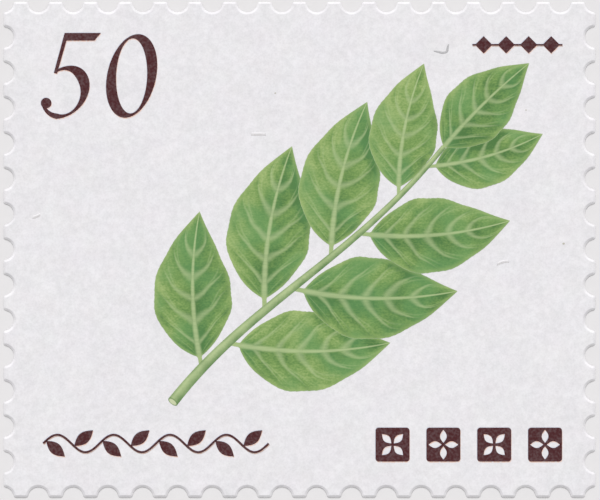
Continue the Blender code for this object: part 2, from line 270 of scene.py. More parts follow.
# Kinds of node, some with the setting that tells them apart.
NOISE = "ShaderNodeTexNoise"
MAPPING = "ShaderNodeMapping"
ATTRIBUTE = "ShaderNodeAttribute"
RANGE = "ShaderNodeMapRange"
SOFT_RANGE = ("ShaderNodeMapRange", {"interpolation_type": "SMOOTHSTEP"})
MIX = ("ShaderNodeMix", {"data_type": "RGBA"})
SCALED = ("ShaderNodeVectorMath", {"operation": "SCALE"})
XYZ = "ShaderNodeCombineXYZ"
PLUS, MINUS, TIMES, OVER, TIMES_PLUS, REMAINDER, FRACTION, SIZE, LARGER, POWER, ROOT, SINE = [
    ("ShaderNodeMath", {"operation": operation})
    for operation in (
        "ADD", "SUBTRACT", "MULTIPLY", "DIVIDE", "MULTIPLY_ADD", "MODULO", "FRACT", "ABSOLUTE", "MAXIMUM",
        "POWER", "SQRT", "SINE",
    )
]
ARC = "GeometryNodeCurveArc"
LINE = "GeometryNodeCurvePrimitiveLine"
ROW = "GeometryNodeMeshLine"
INDEX = "GeometryNodeInputIndex"
OBJECT = "GeometryNodeObjectInfo"
COLLECTION = "GeometryNodeCollectionInfo"
MOVED = "GeometryNodeTransform"
PLACED = "GeometryNodeSetPosition"
JOINED = "GeometryNodeJoinGeometry"
REALIZED = "GeometryNodeRealizeInstances"
INSTANCES = "GeometryNodeInstanceOnPoints"
LAID_FLAT = ("GeometryNodeSetCurveNormal", {"mode": "Z_UP"})
SWEPT = "GeometryNodeCurveToMesh"
TO_CURVE = "GeometryNodeMeshToCurve"
TO_ROTATION = "FunctionNodeEulerToRotation"
RANDOM = ("FunctionNodeRandomValue", {"data_type": "FLOAT"})


def linear(hexadecimal):
    """An sRGB colour such as 0xEAE8EB, as linear red, green and blue."""
    parts = [(hexadecimal >> shift & 255) / 255 for shift in (16, 8, 0)]
    return tuple(p / 12.92 if p <= 0.04045 else ((p + 0.055) / 1.055) ** 2.4 for p in parts)


def face_place(pixel):
    """A pixel of the photograph as a place on the stamp's face."""
    middle = ((STAMP_LEFT + STAMP_RIGHT) / 2, (STAMP_TOP + STAMP_BOTTOM) / 2)
    return Vector((pixel[0] - middle[0], middle[1] - pixel[1])) * MM_A_PIXEL


def unit(angle):
    """The unit vector at an angle from +X."""
    return Vector((math.cos(angle), math.sin(angle)))


class StampDie(bpy.types.PropertyGroup):
    """The die that cuts the stamp's toothed edge, and how it crushes the paper there."""

    teeth_across: IntProperty(
        name="Teeth Across", description="Tooth pitches along the top edge", default=17, min=2
    )
    teeth_up: IntProperty(
        name="Teeth Up", description="Tooth pitches along the side edge", default=14, min=2
    )
    hole_radius: FloatProperty(
        name="Hole Radius", description="Radius of the round cuts between the teeth",
        default=0.53 * MM, unit="LENGTH", precision=6,
    )
    tooth_rounding: FloatProperty(
        name="Tooth Rounding", description="Radius of a tooth's two corners, a little over the rim's width",
        default=0.135 * MM, unit="LENGTH", precision=6,
    )
    rim_width: FloatProperty(
        name="Rim Width", description="How far in from the cut the paper is crushed down",
        default=0.125 * MM, unit="LENGTH", precision=6,
    )
    rim_drop: FloatProperty(
        name="Rim Drop", description="How far the crushed rim falls at the cut",
        default=0.076 * MM, unit="LENGTH", precision=6,
    )
    adhesive_inset: FloatProperty(
        name="Adhesive Inset", description="How far the adhesive stands back from the cut",
        default=0.04 * MM, unit="LENGTH", precision=6,
    )


class SprigPrint(bpy.types.PropertyGroup):
    """The printed sprig's leaves."""

    leaves_a_side: IntProperty(
        name="Leaves a Side", description="Leaves on each side of the stem", default=4, min=1
    )
    first_leaf_at: FloatProperty(
        name="First Leaf At", description="Share of the stem below the first leaf",
        default=0.12, subtype="FACTOR",
    )
    last_leaf_at: FloatProperty(
        name="Last Leaf At", description="Share of the stem below the last leaf",
        default=0.84, subtype="FACTOR",
    )
    far_side_lag: FloatProperty(
        name="Far Side Lag", description="How much later a leaf stands on the right side",
        default=0.10, subtype="FACTOR",
    )


class StampColours(bpy.types.PropertyGroup):
    """The colours of the paper, the adhesive and the inks."""

    paper: FloatVectorProperty(
        name="Paper", description="White stamp paper", subtype="COLOR", default=linear(0xEFEDF0)
    )
    leaf_deep: FloatVectorProperty(
        name="Deep Leaf", description="Green of the leaves' folds and edges",
        subtype="COLOR", default=linear(0x547D46),
    )
    leaf_middle: FloatVectorProperty(
        name="Middle Leaf", description="Green of most of a leaf", subtype="COLOR", default=linear(0x7D9F5A)
    )
    leaf_cool: FloatVectorProperty(
        name="Cool Leaf", description="Bluer green that the wash drifts into",
        subtype="COLOR", default=linear(0x65995F),
    )
    leaf_light: FloatVectorProperty(
        name="Light Leaf", description="Green where a leaf is lightest",
        subtype="COLOR", default=linear(0xA8BE7A),
    )
    vein: FloatVectorProperty(
        name="Vein", description="Pale green of ribs and veins", subtype="COLOR", default=linear(0xB8CA95)
    )
    brown: FloatVectorProperty(
        name="Brown Ink", description="Dark red-brown of the value and ornaments",
        subtype="COLOR", default=linear(0x4B1E21),
    )
    warm_fringe: FloatVectorProperty(
        name="Warm Fringe", description="Tint below the brown, where the plates don't quite meet",
        subtype="COLOR", default=linear(0xECC6B5),
    )
    cool_fringe: FloatVectorProperty(
        name="Cool Fringe", description="Tint above the brown, where the plates don't quite meet",
        subtype="COLOR", default=linear(0xD3D6E4),
    )
    adhesive: FloatVectorProperty(
        name="Adhesive", description="Clear adhesive, seen over its own paper",
        subtype="COLOR", default=linear(0xDCD8CC),
    )


class StampStage(bpy.types.PropertyGroup):
    """The floor, the lights and the lens."""

    key_strength: FloatProperty(
        name="Key", description="Watts a square metre of the soft light beyond the top edge", default=1.92
    )
    fill: FloatProperty(name="Fill", description="Strength of the even light from all round", default=0.590)
    lens: FloatProperty(
        name="Lens", description="Focal length in millimetres on a 36 mm sensor", default=200
    )
    floor: FloatVectorProperty(
        name="Floor", description="Pale floor", subtype="COLOR", default=linear(0xECEAEB)
    )


def add(tree, kind, *values, out=None, **named):
    """Adds a node and returns one of its outputs, the first unless another is named.

    The values go to the inputs that it shows, in order, and None leaves one as it is. Of the names, one that
    starts with a capital is an input's, with _ for a space, and the others are settings. A list is several
    links to one input, and a colour may leave out its alpha."""
    kind, settings = kind if isinstance(kind, tuple) else (kind, {})
    made = tree.nodes.new(kind)
    for name, value in {**settings, **named}.items():
        if name[0].islower():
            setattr(made, name, value)
    given = list(zip([socket for socket in made.inputs if socket.enabled], values))
    given += [(made.inputs[n.replace("_", " ")], value) for n, value in named.items() if n[0].isupper()]
    for socket, value in given:
        for one in value if isinstance(value, list) else [value]:
            if isinstance(one, bpy.types.NodeSocket):
                tree.links.new(one, socket)
            elif one is not None:
                socket.default_value = (*one, 1) if socket.type == "RGBA" else one
    return next(socket for socket in made.outputs if socket.enabled and out in (None, socket.name))


def new_piece(name, data, material=None):
    """A mesh, a curve, a lamp or a lens as an object of the scene, with its material if it has one."""
    piece = bpy.data.objects.new(name, data)
    bpy.context.scene.collection.objects.link(piece)
    if material:
        data.materials.clear()
        data.materials.append(material)
    return piece


def settle(piece, slot, *nodes):
    """Puts a finished piece on the stamp's body, with its material slot and the nodes it stands for."""
    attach(piece, BODY)
    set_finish(piece, slot)
    if nodes:
        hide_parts(*nodes)


def discard(*helpers):
    """Removes helper objects that are finished with, and collections with what they hold."""
    for helper in helpers:
        if isinstance(helper, bpy.types.Collection):
            discard(*helper.objects)
            bpy.data.collections.remove(helper)
        else:
            bpy.data.objects.remove(helper)


def plain_mesh(drawn, name):
    """What an object's curve or modifiers come to, as a plain mesh."""
    mesh = bpy.data.meshes.new_from_object(drawn.evaluated_get(bpy.context.evaluated_depsgraph_get()))
    mesh.name = name
    return mesh


def piece_from_tree(name, build, material, sizes, source=None):
    """Builds a Geometry Nodes tree with an input for each size, runs it and keeps its mesh as a piece."""
    tree = bpy.data.node_groups.new(build.__name__, "GeometryNodeTree")
    tree.is_modifier = True
    for way in ("INPUT", "OUTPUT"):
        tree.interface.new_socket("Geometry", in_out=way, socket_type="NodeSocketGeometry")
    values = {}
    for label, value in {**sizes, "Material": material}.items():
        kind = {int: "Int", float: "Float", tuple: "Vector"}.get(type(value)) or value.bl_rna.identifier
        socket = tree.interface.new_socket(label, in_out="INPUT", socket_type="NodeSocket" + kind)
        values[socket.identifier] = value
    given = tree.nodes.new("NodeGroupInput").outputs
    node = partial(add, tree)
    real = node(REALIZED, build(node, given))
    painted = node("GeometryNodeSetMaterial", real, Material=given["Material"])
    tree.links.new(painted, tree.nodes.new("NodeGroupOutput").inputs[0])
    piece = new_piece(name, source or bpy.data.meshes.new(name))
    modifier = piece.modifiers.new(tree.name, "NODES")
    modifier.node_group = tree
    for identifier, value in values.items():
        modifier[identifier] = value
    mesh = plain_mesh(piece, name)
    if not mesh.polygons:
        raise RuntimeError(f"{tree.name} made no faces for {name}")
    piece.modifiers.clear()
    piece.data = mesh
    mesh.materials.clear()
    mesh.materials.append(material)
    mesh.polygons.foreach_set("material_index", [0] * len(mesh.polygons))
    return piece


def pattern_collection(name, meshes):
    """Patterns for a tree to pick from by number, kept out of the scene itself."""
    patterns = bpy.data.collections.new(name)
    for number, mesh in enumerate(meshes):
        patterns.objects.link(bpy.data.objects.new(f"{name}_{number}", mesh))
    return patterns


def mesh_from(shape, name):
    """The mesh of a finished shape."""
    mesh = bpy.data.meshes.new(name)
    shape.to_mesh(mesh)
    shape.free()
    return mesh


def face_outwards(mesh):
    """Merges a mesh's doubled points, turns its faces outwards and returns it."""
    shape = bmesh.new()
    shape.from_mesh(mesh)
    bmesh.ops.remove_doubles(shape, verts=shape.verts, dist=WELD)
    bmesh.ops.recalc_face_normals(shape, faces=shape.faces)
    shape.to_mesh(mesh)
    shape.free()
    return mesh


def joined_mesh(name, meshes, shift=(0, 0, 0)):
    """Several meshes as one, moved by a shift."""
    shape = bmesh.new()
    for mesh in meshes:
        shape.from_mesh(mesh)
    bmesh.ops.translate(shape, verts=shape.verts, vec=shift)
    return mesh_from(shape, name)


def curve_object(name, kind, lines, **settings):
    """A curve with its settings, from lines of points."""
    curve = bpy.data.curves.new(name, "CURVE")
    for setting, value in settings.items():
        setattr(curve, setting, value)
    for line in lines:
        spline = curve.splines.new(kind)
        spline.points.add(len(line) - 1)
        for point, place in zip(spline.points, line):
            point.co = (place[0], place[1], 0, 1)
    return new_piece(name, curve)


def film_mesh(name, loops, bottom):
    """A thin flat film from its outline and its holes, as a closed mesh."""
    drawn = curve_object(name, "POLY", loops, dimensions="2D", fill_mode="BOTH", extrude=FILM / 2)
    for spline in drawn.data.splines:
        spline.use_cyclic_u = True
    mesh = plain_mesh(drawn, name)
    discard(drawn)
    for vertex in mesh.vertices:
        vertex.co.z += bottom + FILM / 2
    return face_outwards(mesh)


def fused_film(name, outlines, bottom, material):
    """Overlapping strokes as one film, joined by a Boolean union."""
    films = [film_mesh("stroke", [loop], bottom) for loop in outlines]
    body, *others = [new_piece("stroke", film, material) for film in films]
    joined = bpy.data.collections.new("strokes")
    for other in others:
        joined.objects.link(other)
    union = body.modifiers.new("join_strokes", "BOOLEAN")
    union.operation = "UNION"
    union.operand_type = "COLLECTION"
    union.collection = joined
    mesh = plain_mesh(body, name)
    discard(body, joined)
    return new_piece(name, mesh, material)


def arc(centre, radius, start, end, steps):
    """Points on a circle from one angle to another, both ends included."""
    angles = [start + (end - start) * i / steps for i in range(steps + 1)]
    return [centre + radius * unit(angle) for angle in angles]


def ring(centre, radius, points):
    """A circle's points, or a square's on its corner."""
    return arc(centre, radius, 0, (2 - 2 / points) * math.pi, points - 1)


def ways_along(centres):
    """The way that a line of points runs at each of them."""
    return [after - before for before, after in zip(centres[:1] + centres, centres[1:] + centres[-1:])]


def ribbon(centres, widths):
    """The outline of a band of changing width along a line of points."""
    reaches = [way.orthogonal().normalized() * width / 2 for way, width in zip(ways_along(centres), widths)]
    left = [centre + reach for centre, reach in zip(centres, reaches)]
    right = [centre - reach for centre, reach in zip(centres, reaches)]
    return right + left[::-1]


def pen_widths(centres):
    """What a broad pen draws along a line: thin where the line runs with the nib, wide across it."""
    turns = [math.atan2(way.y, way.x) - PEN_ANGLE for way in ways_along(centres)]
    return [PEN_THIN + (PEN_WIDE - PEN_THIN) * math.sin(turn) ** 2 for turn in turns]


def almond(root, heading, length, width, steps=16):
    """The outline of a small plain leaf, pointed at both ends."""
    along = unit(heading)
    sideways = along.orthogonal()
    right, left = [], []
    for i in range(steps):
        share = i / steps
        middle = root + along * length * share
        half = width / 2 * math.sin(math.pi * share)
        right.append(middle - sideways * half)
        left.append(middle + sideways * half)
    return right + [root + along * length] + left[:0:-1]


def per(size):
    """A texture's scale for features of a size in metres."""
    return 1 / size


def new_material(name, roughness, specular):
    """A material, what adds a node to it, and the object's own coordinates in metres for its patterns."""
    material = bpy.data.materials.new(name)
    material.use_nodes = True
    tree = material.node_tree
    shader = tree.nodes["Principled BSDF"]
    shader.inputs["Roughness"].default_value = roughness
    shader.inputs["Specular IOR Level"].default_value = specular
    node = partial(add, tree)
    return material, node, node("ShaderNodeTexCoord", out="Object")


def end_material(material, colour, relief=None, height=0.0):
    """Gives a material its colour and any relief, and returns it."""
    tree = material.node_tree
    shader = tree.nodes["Principled BSDF"]
    tree.links.new(colour, shader.inputs["Base Color"])
    if relief:
        bump = add(tree, "ShaderNodeBump", Strength=1.0, Distance=height, Height=relief)
        tree.links.new(bump, shader.inputs["Normal"])
    return material


def paper_tooth(node, place):
    """The fine relief of the sheet's fibres, which shows through the ink too.

    Real fibres are about 0.03 mm wide and would be lost at this distance, so two sizes of tuft are drawn
    coarser, the finer of them longer along the sheet's machine direction."""
    drawn_out = node(MAPPING, place, Scale=(1.0, 0.45, 1.0))
    flocs = node(NOISE, place, per(0.42 * MM), 2.0)
    fibres = node(NOISE, drawn_out, per(0.13 * MM), 3.0)
    return node(PLUS, flocs, fibres)


def stamp_paper(colours):
    """White wove stamp paper, lightly calendered: matt, with cloudy flocs of fibre that lean to blue
    in one place and to pink in another, which keeps the white from looking like plastic."""
    material, node, place = new_material("stamp_paper_wove", 0.82, 0.25)
    level = 1.0
    for size, detail, low, high, darkest, lightest, kind in (
        (0.30, 3.0, 0.30, 0.70, 0.938, 1.028, RANGE),
        (1.5, 2.0, 0.30, 0.70, 0.976, 1.018, RANGE),
        (0.075, 0.0, 0.2, 0.8, 0.978, 1.022, SOFT_RANGE),
    ):
        flocs = node(NOISE, place, per(size * MM), detail)
        level = node(TIMES, level, node(kind, flocs, low, high, darkest, lightest))
    tints = node(NOISE, place, per(1.1 * MM), 1.0, out="Color")
    tinted = node(MIX, 0.075, colours.paper, tints, blend_type="OVERLAY")
    colour = node(SCALED, tinted, level)
    return end_material(material, colour, paper_tooth(node, place), SHEET_RELIEF)


def leaf_ink(colours):
    """Four-colour offset print of a painted leaf on matt paper: washes that turn from warm to cool green,
    pool darker under each side vein and fade out at the leaf's edge, with soft pale veins left in them."""
    material, node, place = new_material("offset_ink_leaf_green", 0.65, 0.14)
    seed, from_rib, from_edge, length, from_seam = [
        node(ATTRIBUTE, out="Fac", attribute_name=name)
        for name in ("leaf_seed", "from_rib", "from_edge", "leaf_length", "from_seam")
    ]
    straight = node("ShaderNodeSeparateXYZ", node("ShaderNodeUVMap", uv_map="leaf_uv"))
    across = straight.node.outputs["Y"]
    wander = node(NOISE, place, per(1.7 * MM), 1.0)
    along = node(TIMES_PLUS, wander, VEIN_WANDER, straight)
    outward = node(SIZE, node(TIMES_PLUS, across, 2.0, -1.0))

    # How far a place lies between one side vein and the next, from 0 on one to 1 on the next.
    curled = node(POWER, node(OVER, outward, VEIN_END), VEIN_CURL)
    root = node(TIMES_PLUS, curled, -VEIN_RUN, along)
    count = node(TIMES_PLUS, root, 1 / VEIN_STEP, -(VEIN_FROM + VEIN_WANDER / 2) / VEIN_STEP)
    between = node(FRACTION, count)
    from_vein = node(MINUS, 0.5, node(SIZE, node(MINUS, between, 0.5)))
    reach = node(RANGE, outward, 0.0, 0.75, 0.34, 0.08)
    line = node(SOFT_RANGE, from_vein, reach, 0.0)
    starts = node(SOFT_RANGE, count, -0.45, -0.15)
    stops = node(SOFT_RANGE, count, 4.6, 4.3)
    fades = node(SOFT_RANGE, outward, 1.0, 0.50)
    vein = node(TIMES, node(TIMES, line, starts), node(TIMES, stops, fades))

    # Each side vein forks, and its branch bends away towards the tip.
    branch_at = node(RANGE, outward, BRANCH_FROM, BRANCH_END, 0.0, 0.46)
    from_branch = node(SIZE, node(MINUS, between, branch_at))
    branch_starts = node(SOFT_RANGE, outward, BRANCH_FROM, 0.42)
    branch_fades = node(SOFT_RANGE, outward, BRANCH_END, 0.55)
    branch_line = node(SOFT_RANGE, from_branch, 0.11, 0.0)
    branch = node(TIMES, branch_line, node(TIMES, branch_starts, branch_fades))

    # The rib narrows to the tip.
    rib_half = node(RANGE, along, 0.0, 1.0, RIB_HALF_WIDTH * 1.6, RIB_HALF_WIDTH * 0.25)
    rib = node(SOFT_RANGE, node(OVER, from_rib, rib_half), 1.9, 0.35)

    # What deepens or lightens the wash: it is deepest in the pockets between rib and vein, and where the
    # leaf goes under the next one.
    swell = node(SOFT_RANGE, between, 1.05, 0.40)
    puff = node(TIMES, swell, node(SOFT_RANGE, between, 0.0, 0.16, 0.45, 1.0))
    near_rib = node(SOFT_RANGE, outward, 0.60, 0.06)
    pocket = node(TIMES, near_rib, node(SOFT_RANGE, between, 1.0, 0.10))
    foot = node(SOFT_RANGE, along, 0.45, 0.04)
    lit_side = node(SOFT_RANGE, across, 0.44, 0.56)
    seam = node(TIMES_PLUS, wander, 0.3 * MM, from_seam)
    tucked = node(SOFT_RANGE, seam, SEAM_REACH, 0.16 * MM)
    blotches = node(NOISE, place, per(1.5 * MM), 3.0)
    brushed = [node(TIMES, *pair) for pair in ((count, 1.8), (outward, 1.2), (seed, 9.0))]
    strokes = node(NOISE, node(XYZ, *brushed), 2.4, 1.5)

    # The printing screen is too fine to show at this distance, so its grain and lines are drawn coarser.
    grain = node(NOISE, node(MAPPING, place, Scale=(0.8, 1.2, 1.0)), per(0.095 * MM), 1.0)
    screen = node(NOISE, node(MAPPING, place, Scale=(0.10, 1.0, 1.0)), per(0.10 * MM), 0.0)

    # The wash's depth, from 0 deep to 1 light.
    depth = -0.125
    for share, amount in (
        (puff, 0.25), (blotches, 1.00), (strokes, 0.36), (grain, 0.74), (screen, 0.20), (seed, 0.34),
        (outward, 0.14), (pocket, -0.34), (foot, -0.24), (lit_side, 0.19), (tucked, -0.60),
    ):
        depth = node(TIMES_PLUS, node(PLUS, share, -0.5), amount, depth)
    wash = node("ShaderNodeValToRGB", depth)
    ramp = wash.node.color_ramp.elements
    ramp[0].color = (*colours.leaf_deep, 1)
    ramp[1].color = (*colours.leaf_light, 1)
    ramp.new(0.48).color = (*colours.leaf_middle, 1)
    drift = node(NOISE, place, per(2.3 * MM), 2.0)
    coolness = node(SOFT_RANGE, drift, 0.40, 0.66, 0.0, 0.55)
    side_veins = node(LARGER, node(TIMES, vein, 0.58), node(TIMES, branch, 0.30))
    ribs = node(LARGER, side_veins, node(TIMES, rib, 0.85))
    pale = node(TIMES, ribs, node(SOFT_RANGE, screen, 0.25, 0.75, 0.84, 1.0))

    # The ink thins towards an uneven edge, where a little bare paper shows.
    uneven = node(TIMES_PLUS, grain, 0.07 * MM, -0.035 * MM)
    inside = node(TIMES_PLUS, from_edge, length, uneven)
    thin = node(SOFT_RANGE, inside, 0.30 * MM, 0.0, 0.0, 0.42)
    bare = node(SOFT_RANGE, inside, 0.045 * MM, 0.0, 0.0, 0.16)
    colour = wash
    for share, over in (
        (coolness, colours.leaf_cool), (pale, colours.vein), (thin, colours.leaf_light),
        (bare, colours.paper),
    ):
        colour = node(MIX, share, colour, over)
    return end_material(material, colour, paper_tooth(node, place), SHEET_RELIEF)


def stem_ink(colours):
    """The same process inks on the stem: pale, with a green wash at its sides, deeper on the lower one."""
    material, node, place = new_material("offset_ink_stem_green", 0.65, 0.14)
    across, from_foot = [
        node(ATTRIBUTE, out="Fac", attribute_name=name) for name in ("across", "from_foot")
    ]
    blotches = node(NOISE, place, per(0.9 * MM), 3.0)
    grain = node(NOISE, place, per(0.11 * MM))
    shaded = node(SOFT_RANGE, across, 0.55, -1.0, 0.05, 0.72)
    rim = node(SOFT_RANGE, across, 0.45, 1.0, 0.0, 0.36)
    uneven = node(TIMES_PLUS, grain, 0.30, node(TIMES_PLUS, blotches, 0.9, -0.56))
    wash = node(PLUS, node(PLUS, shaded, rim), uneven)
    body = node(MIX, node(RANGE, wash), colours.vein, colours.leaf_deep)

    # The cut foot is a pale oval with a green line round it.
    squared = node(TIMES_PLUS, from_foot, from_foot, node(TIMES, across, across))
    around = node(ROOT, squared)
    outlined = node(MIX, node(SOFT_RANGE, around, 1.5, 1.0, 0.0, 0.55), body, colours.leaf_deep)
    pith = linear(0xD5DBB4)
    colour = node(MIX, node(SOFT_RANGE, around, 1.0, 0.62, 0.0, 0.9), outlined, pith)
    return end_material(material, colour, paper_tooth(node, place), SHEET_RELIEF)


def brown_ink(colours):
    """Solid spot of dark red-brown offset ink: matt, and mottled where the paper drinks it in and a little
    of the sheet shows through. It is made the first time that a piece asks for it."""
    made = bpy.data.materials.get("offset_ink_red_brown")
    if made:
        return made
    material, node, place = new_material("offset_ink_red_brown", 0.60, 0.22)
    mottle = node(NOISE, place, per(0.13 * MM), 2.0)
    clouds = node(NOISE, place, per(0.55 * MM), 1.0)
    thin = node(SOFT_RANGE, node(TIMES_PLUS, clouds, 0.35, mottle), 0.50, 0.90, 0.0, 0.055)
    colour = node(MIX, thin, colours.brown, colours.paper)
    return end_material(material, colour, paper_tooth(node, place), BROWN_RELIEF)


def fringe_ink(name, tint, paper):
    """The thin tint of one plate, which stands out by a hair beside the brown: broken up by the sheet's
    grain."""
    material, node, place = new_material(name, 0.70, 0.20)
    grain = node(NOISE, place, per(0.09 * MM), 1.0)
    return end_material(material, node(MIX, node(SOFT_RANGE, grain, 0.40, 0.75, 0.0, 0.8), tint, paper))


def acrylic_adhesive(colours):
    """Clear acrylic adhesive over white paper: faintly yellow and glossy, with the streaks of its coater."""
    material, node, place = new_material("acrylic_adhesive_coat", 0.28, 0.50)
    drawn_out = node(MAPPING, place, Scale=(0.08, 1.0, 1.0))
    streaks = node(NOISE, drawn_out, per(0.35 * MM), 2.0)
    level = node(RANGE, streaks, 0.3, 0.7, 0.96, 1.03)
    colour = node(SCALED, tuple(colours.adhesive), level)
    return end_material(material, colour, streaks, ADHESIVE_RELIEF)


def bleached_fibres():
    """Bleached wood fibres and lint on the sheet's face: a little whiter than the sheet, some of them
    leaning to blue and some to pink. It is made the first time that a piece asks for it."""
    made = bpy.data.materials.get("bleached_fibres")
    if made:
        return made
    material, node, place = new_material("bleached_fibres", 0.75, 0.30)
    tints = node(NOISE, place, per(0.9 * MM), out="Color")
    return end_material(material, node(MIX, 0.10, linear(0xF6F4F6), tints, blend_type="OVERLAY"))


def mark_material(name, dark, light, size):
    """What is caught on the sheet, a hair or dust, and the lint's painted shadow: matt and grey, and
    unevenly so along its length.
    """
    material, node, place = new_material(name, 0.70, 0.20)
    grain = node(NOISE, place, per(size))
    return end_material(material, node(MIX, grain, linear(dark), linear(light)))


def studio_floor(stage):
    """Pale matt card, with a mottle so faint that it only keeps the floor from looking empty."""
    material, node, place = new_material("pale_card_floor", 0.95, 0.05)
    level = node(RANGE, node(NOISE, place, per(0.6 * MM), 3.0), 0.3, 0.7, 0.985, 1.01)
    return end_material(material, node(SCALED, tuple(stage.floor), level))


def tooth_and_hole(node, given, pitch, hole_turn):
    """The edges of one tooth and of the round cut after it, with the tooth's start at the origin.

    The parts stay in this order, because another one can turn the edge about and the rim inside out."""
    near, rounding = given["Shoulder Reach"], given["Tooth Rounding"]
    far = node(MINUS, pitch, near)
    parts = []
    for steps, radius, start, turn, x, y in (
        (SHOULDER_STEPS, rounding, given["Near Shoulder Start"], given["Shoulder Turn"], near, rounding),
        (SHOULDER_STEPS, rounding, 1.5 * math.pi, given["Shoulder Turn"], far, rounding),
        (HOLE_STEPS, given["Hole Radius"], given["Hole Start"], hole_turn, pitch, 0.0),
    ):
        parts.append(node(MOVED, node(ARC, steps, radius, start, turn), node(XYZ, x, y)))
    parts.append(node(LINE, node(XYZ, near), node(XYZ, far)))
    return node(SWEPT, node(JOINED, parts))


def toothed_side(node, given, way, corner, turn):
    """One side of the edge: a row of teeth and holes, with a quarter hole at its last corner."""
    pitch = given["Pitch " + way]
    all_but_last = node(MINUS, given["Teeth " + way], 1.0)
    row = node(ROW, all_but_last, Offset=node(XYZ, pitch))
    repeated = node(INSTANCES, row, Instance=tooth_and_hole(node, given, pitch, given["Hole Turn"]))
    to_last = node(XYZ, node(TIMES, all_but_last, pitch))
    last = node(MOVED, tooth_and_hole(node, given, pitch, given["Corner Turn"]), to_last)
    return node(MOVED, node(JOINED, [repeated, last]), corner, (0, 0, turn))


def die_cut(node, given):
    """One layer of the stamp as the die cuts it: its toothed edge is built tooth by tooth, a rim is
    swept along it, and the inside is filled above and below."""
    halves = [
        node(TIMES, node(TIMES, given["Teeth " + way], given["Pitch " + way]), 0.5)
        for way in ("Across", "Up")
    ]
    half_size = node(XYZ, *halves)
    sides = []
    for number, (way, x, y) in enumerate(
        (("Across", -1, -1), ("Up", 1, -1), ("Across", 1, 1), ("Up", -1, 1))
    ):
        corner = node("ShaderNodeVectorMath", half_size, (x, y, 0), operation="MULTIPLY")
        sides.append(toothed_side(node, given, way, corner, number * math.pi / 2))
    real = node(REALIZED, node(JOINED, sides))
    closed = node("GeometryNodeMergeByDistance", real, Distance=EDGE_WELD)
    edge = node(LAID_FLAT, node(TO_CURVE, closed))
    inwards = node(SCALED, node("GeometryNodeInputNormal"), -1.0)
    inset = node(PLACED, edge, Offset=node(SCALED, inwards, given["Inset"]))
    rim = node(SWEPT, inset, node(OBJECT, given["Rim Profile"], out="Geometry"))
    inner = node(PLACED, inset, Offset=node(SCALED, inwards, given["Rim Reach"]))
    sheet = node("GeometryNodeFillCurve", inner)
    top, bottom = [node(MOVED, sheet, node(XYZ, None, None, given[level])) for level in ("Top", "Bottom")]
    layer = node(JOINED, [rim, top, node("GeometryNodeFlipFaces", bottom)])
    return node("GeometryNodeSetShadeSmooth", layer)


def rim_profile(low, high, width, drop):
    """The cut edge in section, from the top face round the crushed rim and down to the bottom face.

    The tree's sweep takes +X outwards and +Y down."""
    points = [(width + RIM_FLAT, high), (width, high)]
    for i in range(1, RIM_STEPS + 1):
        out = i / RIM_STEPS
        curved = out < RIM_ROUNDED_SHARE
        fall = out**2 / (2 * RIM_ROUNDED_SHARE) if curved else out - RIM_ROUNDED_SHARE / 2
        points.append((width * (1 - out), high - drop * fall / (1 - RIM_ROUNDED_SHARE / 2)))
    points += [(0, low), (width + RIM_FLAT, low)]
    return curve_object("rim_profile", "POLY", [[(-inwards, -height) for inwards, height in points]])


def die_cut_layer(name, low, high, inset, width, drop, material):
    """One layer of the stamp, from the die's own sizes."""
    die = bpy.context.scene.stamp_die
    rounding, hole = die.tooth_rounding, die.hole_radius
    lean = math.asin(rounding / (hole + rounding))
    profile = rim_profile(low, high, width, drop)
    layer = piece_from_tree(
        name, die_cut, material,
        {
            "Teeth Across": die.teeth_across,
            "Teeth Up": die.teeth_up,
            "Pitch Across": (PAPER_HIGH.x - PAPER_LOW.x) / die.teeth_across,
            "Pitch Up": (PAPER_HIGH.y - PAPER_LOW.y) / die.teeth_up,
            "Hole Radius": hole,
            "Tooth Rounding": rounding,
            "Shoulder Reach": (hole + rounding) * math.cos(lean),
            "Near Shoulder Start": math.pi + lean,
            "Shoulder Turn": math.pi / 2 - lean,
            "Hole Start": math.pi - lean,
            "Hole Turn": 2 * lean - math.pi,
            "Corner Turn": 2 * lean - math.pi / 2,
            "Inset": inset,
            "Rim Profile": profile,
            "Rim Reach": width + RIM_FLAT,
            "Top": high,
            "Bottom": low,
        },
    )
    discard(profile)
    face_outwards(layer.data).set_sharp_from_angle(angle=SHARP_ANGLE)
    return layer


def stem_point(share):
    """A point on the stem's cubic curve, from 0 at the foot to 1 at the tip."""
    rest = 1 - share
    return (
        STEM_FOOT * rest**3
        + STEM_LOWER_PULL * 3 * rest**2 * share
        + STEM_UPPER_PULL * 3 * rest * share**2
        + STEM_TIP * share**3
    )


def stem_heading(share):
    """The way the stem runs there, as an angle from +X."""
    ahead = stem_point(min(share + STEM_LOOK_AHEAD, 1)) - stem_point(max(share - STEM_LOOK_AHEAD, 0))
    return math.atan2(ahead.y, ahead.x)


def half_leaf_width(along):
    """Half a leaf's width as a share of its length: a thin stalk, then a finely toothed blade."""
    blade = max(0.0, (along - STALK_SHARE) / (1 - STALK_SHARE))
    body = LEAF_WIDTH_SHARE / 2 * math.sin(math.pi * blade**WIDEST_EARLY)
    wave = 1 + MARGIN_WAVE_DEPTH * math.sin(2 * math.pi * MARGIN_WAVES * blade)
    teeth = 1 - MARGIN_TOOTH_DEPTH * (MARGIN_TEETH * blade % 1)
    return max(STALK_HALF_WIDTH * (1 - blade), body * wave * teeth)


